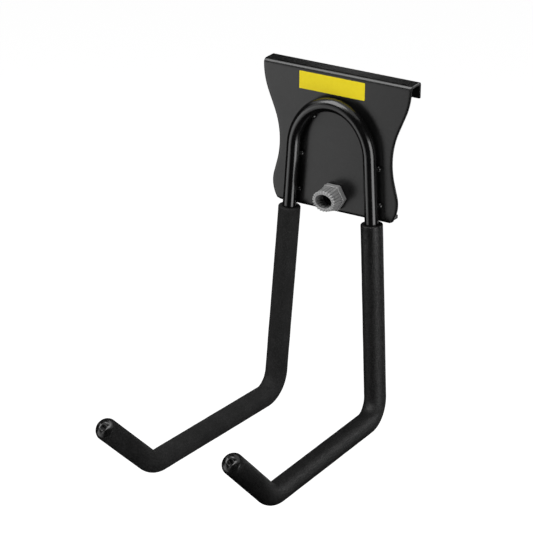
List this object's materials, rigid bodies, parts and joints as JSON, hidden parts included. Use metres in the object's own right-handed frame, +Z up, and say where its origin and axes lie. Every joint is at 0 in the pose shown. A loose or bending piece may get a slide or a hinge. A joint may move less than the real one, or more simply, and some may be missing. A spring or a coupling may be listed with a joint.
{
  "type": "wall rail double utility hook",
  "caption": "Wall-rail utility hook: waisted folded plate, bent round bar with padded forward arms and raised tips, and a turning lock knob.",
  "frame": {"origin": "middle of the rail seat, the underside of the plate's top web between plate and lip", "axes": "+Z up, +Y towards the wall, +X to the right as seen by a user who faces the hook"},
  "size_m": [0.117, 0.2368, 0.2555],
  "materials": {
    "black_sheet": "satin powder coat",
    "black_bar": "glossy powder coat",
    "black_foam": "fine-celled soft foam",
    "yellow_label": "printed film, bare",
    "grey_plastic": "moulded",
    "zinc_steel": "zinc plated",
    "black_steel": "black oxide",
    "black_pad": "moulded"
  },
  "bodies": {
    "hook": {"back_plate": "black_sheet", "hook_rod": "black_bar", "left_sleeve": "black_foam", "right_sleeve": "black_foam", "front_label": "yellow_label", "clinch_nut": "zinc_steel"},
    "pad": {"clamp_pad": "black_pad"},
    "knob": {"lock_knob": "grey_plastic", "lock_screw": "black_steel"}
  },
  "joints": [
    {"name": "pad_travel", "type": "slide", "parent": "hook", "child": "pad", "axis": [0, 1, 0], "range_m": [-0.0051, 0]},
    {"name": "knob_turn", "type": "hinge", "parent": "pad", "child": "knob", "pos_m": [0, 0, -0.0894], "axis": [0, 1, 0], "range_deg": [-1440, 0]}
  ],
  "couplings": [
    {"joint": "pad_travel", "follows": "knob_turn", "m_per_rad": 0.00019894}
  ]
}
